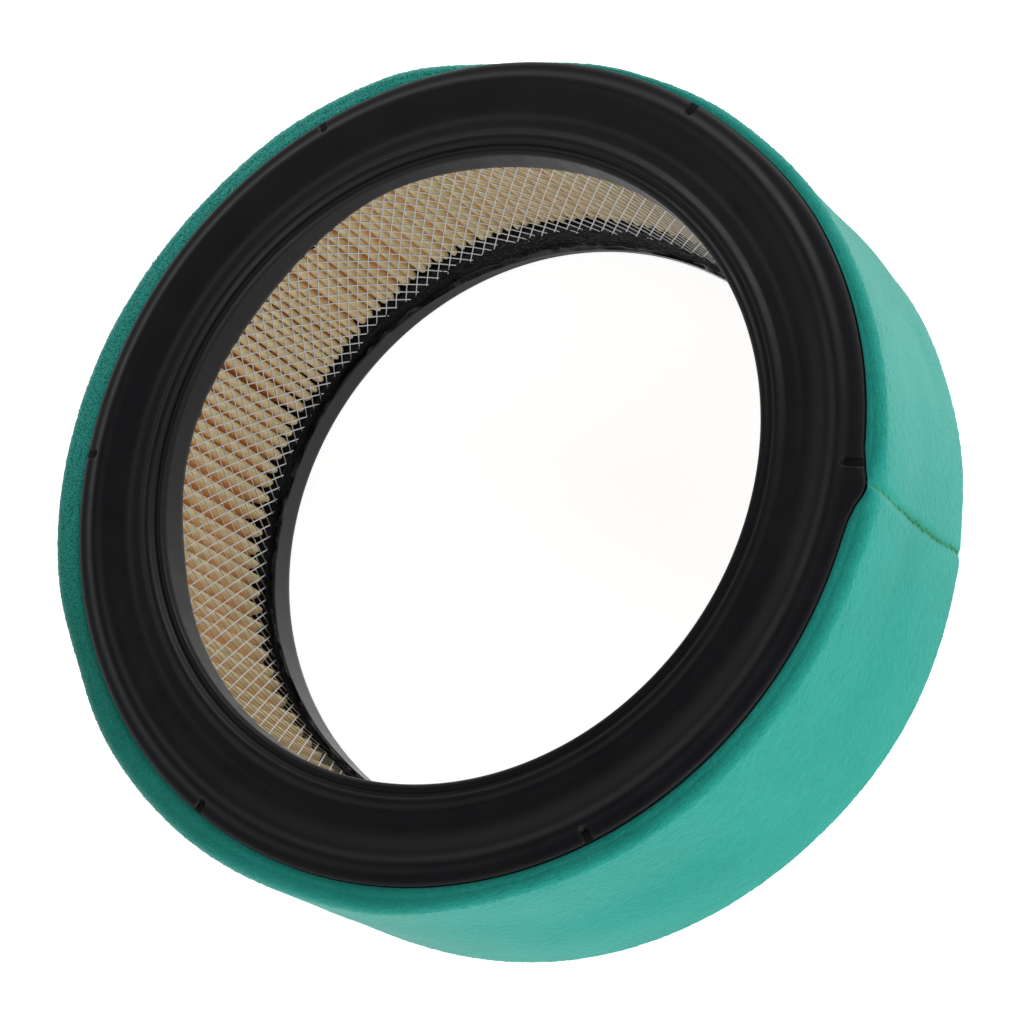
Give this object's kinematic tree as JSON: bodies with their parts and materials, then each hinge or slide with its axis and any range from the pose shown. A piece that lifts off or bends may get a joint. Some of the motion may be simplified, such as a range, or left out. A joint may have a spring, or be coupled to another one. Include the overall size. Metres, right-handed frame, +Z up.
{
  "type": "round air filter element with foam pre-cleaner",
  "caption": "Round pleated paper air filter element with moulded end caps and mesh screens, inside a pull-off sewn foam pre-cleaner sleeve.",
  "frame": {"origin": "on the axis of the element, at the level of the lower sealing ridge that it stands on", "axes": "+Z up along the axis of the element, from the lower end cap to the upper end cap; +X lies 12.4 degrees from the sewn seam of the foam sleeve"},
  "size_m": [0.188, 0.188, 0.0582],
  "materials": {
    "end_cap": "satin moulded",
    "screen": "bright galvanised expanded mesh",
    "filter_paper": "matt resin-treated",
    "clip_metal": "plain",
    "foam": "open-cell foam",
    "thread": "plain"
  },
  "bodies": {
    "element": {"upper_end_cap": "end_cap", "lower_end_cap": "end_cap", "inner_screen": "screen", "outer_screen": "screen", "pleated_paper": "filter_paper", "pleat_seam_clip": "clip_metal"},
    "pre_cleaner": {"foam_sleeve": "foam", "sleeve_seam_thread": "thread"}
  },
  "joints": [
    {"name": "pre_cleaner_slide", "type": "slide", "parent": "element", "child": "pre_cleaner", "axis": [0, 0, 1], "range_m": [0, 0.065]}
  ]
}
